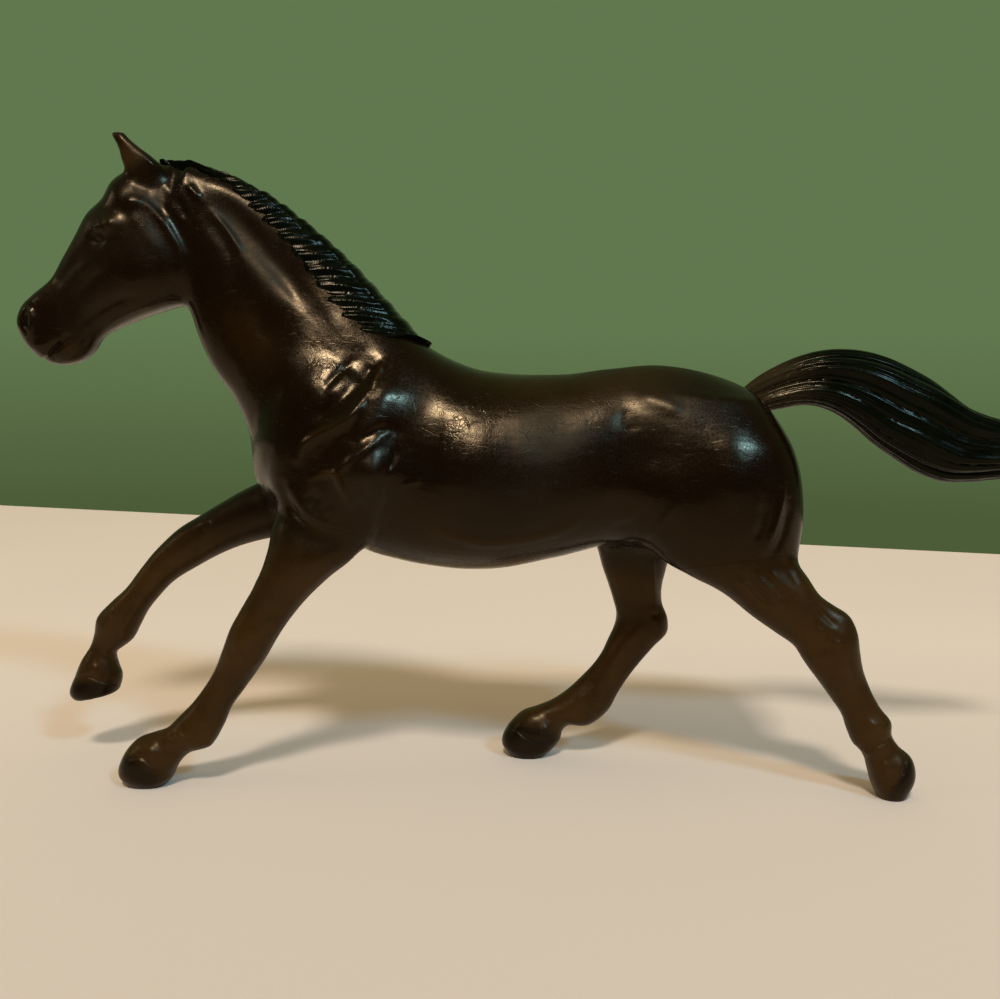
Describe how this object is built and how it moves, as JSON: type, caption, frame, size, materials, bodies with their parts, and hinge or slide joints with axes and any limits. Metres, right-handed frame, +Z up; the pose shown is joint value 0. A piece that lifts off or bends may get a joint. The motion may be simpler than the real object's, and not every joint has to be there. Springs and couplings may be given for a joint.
{
  "type": "toy horse figure",
  "caption": "Small moulded toy horse in a long, low canter, standing on its hooves with a forefoot raised, plugged legs, black mane and tail.",
  "frame": {"origin": "on the standing surface, under the middle of the figure's length and width", "axes": "-X is the way the horse faces, +Z is up, and -Y is the horse's left side, the side in the picture"},
  "size_m": [0.1666, 0.0284, 0.1],
  "materials": {
    "brown_body": "semi-gloss, finely wrinkled and scratched",
    "brown_leg": "semi-gloss, hooves sprayed darker",
    "black_hair": "gloss, sculpted strands"
  },
  "bodies": {
    "root": {"left_body_shell": "brown_body", "right_body_shell": "brown_body", "left_foreleg": "brown_leg", "right_foreleg": "brown_leg", "left_hind_leg": "brown_leg", "right_hind_leg": "brown_leg", "mane": "black_hair", "tail": "black_hair"}
  },
  "joints": []
}
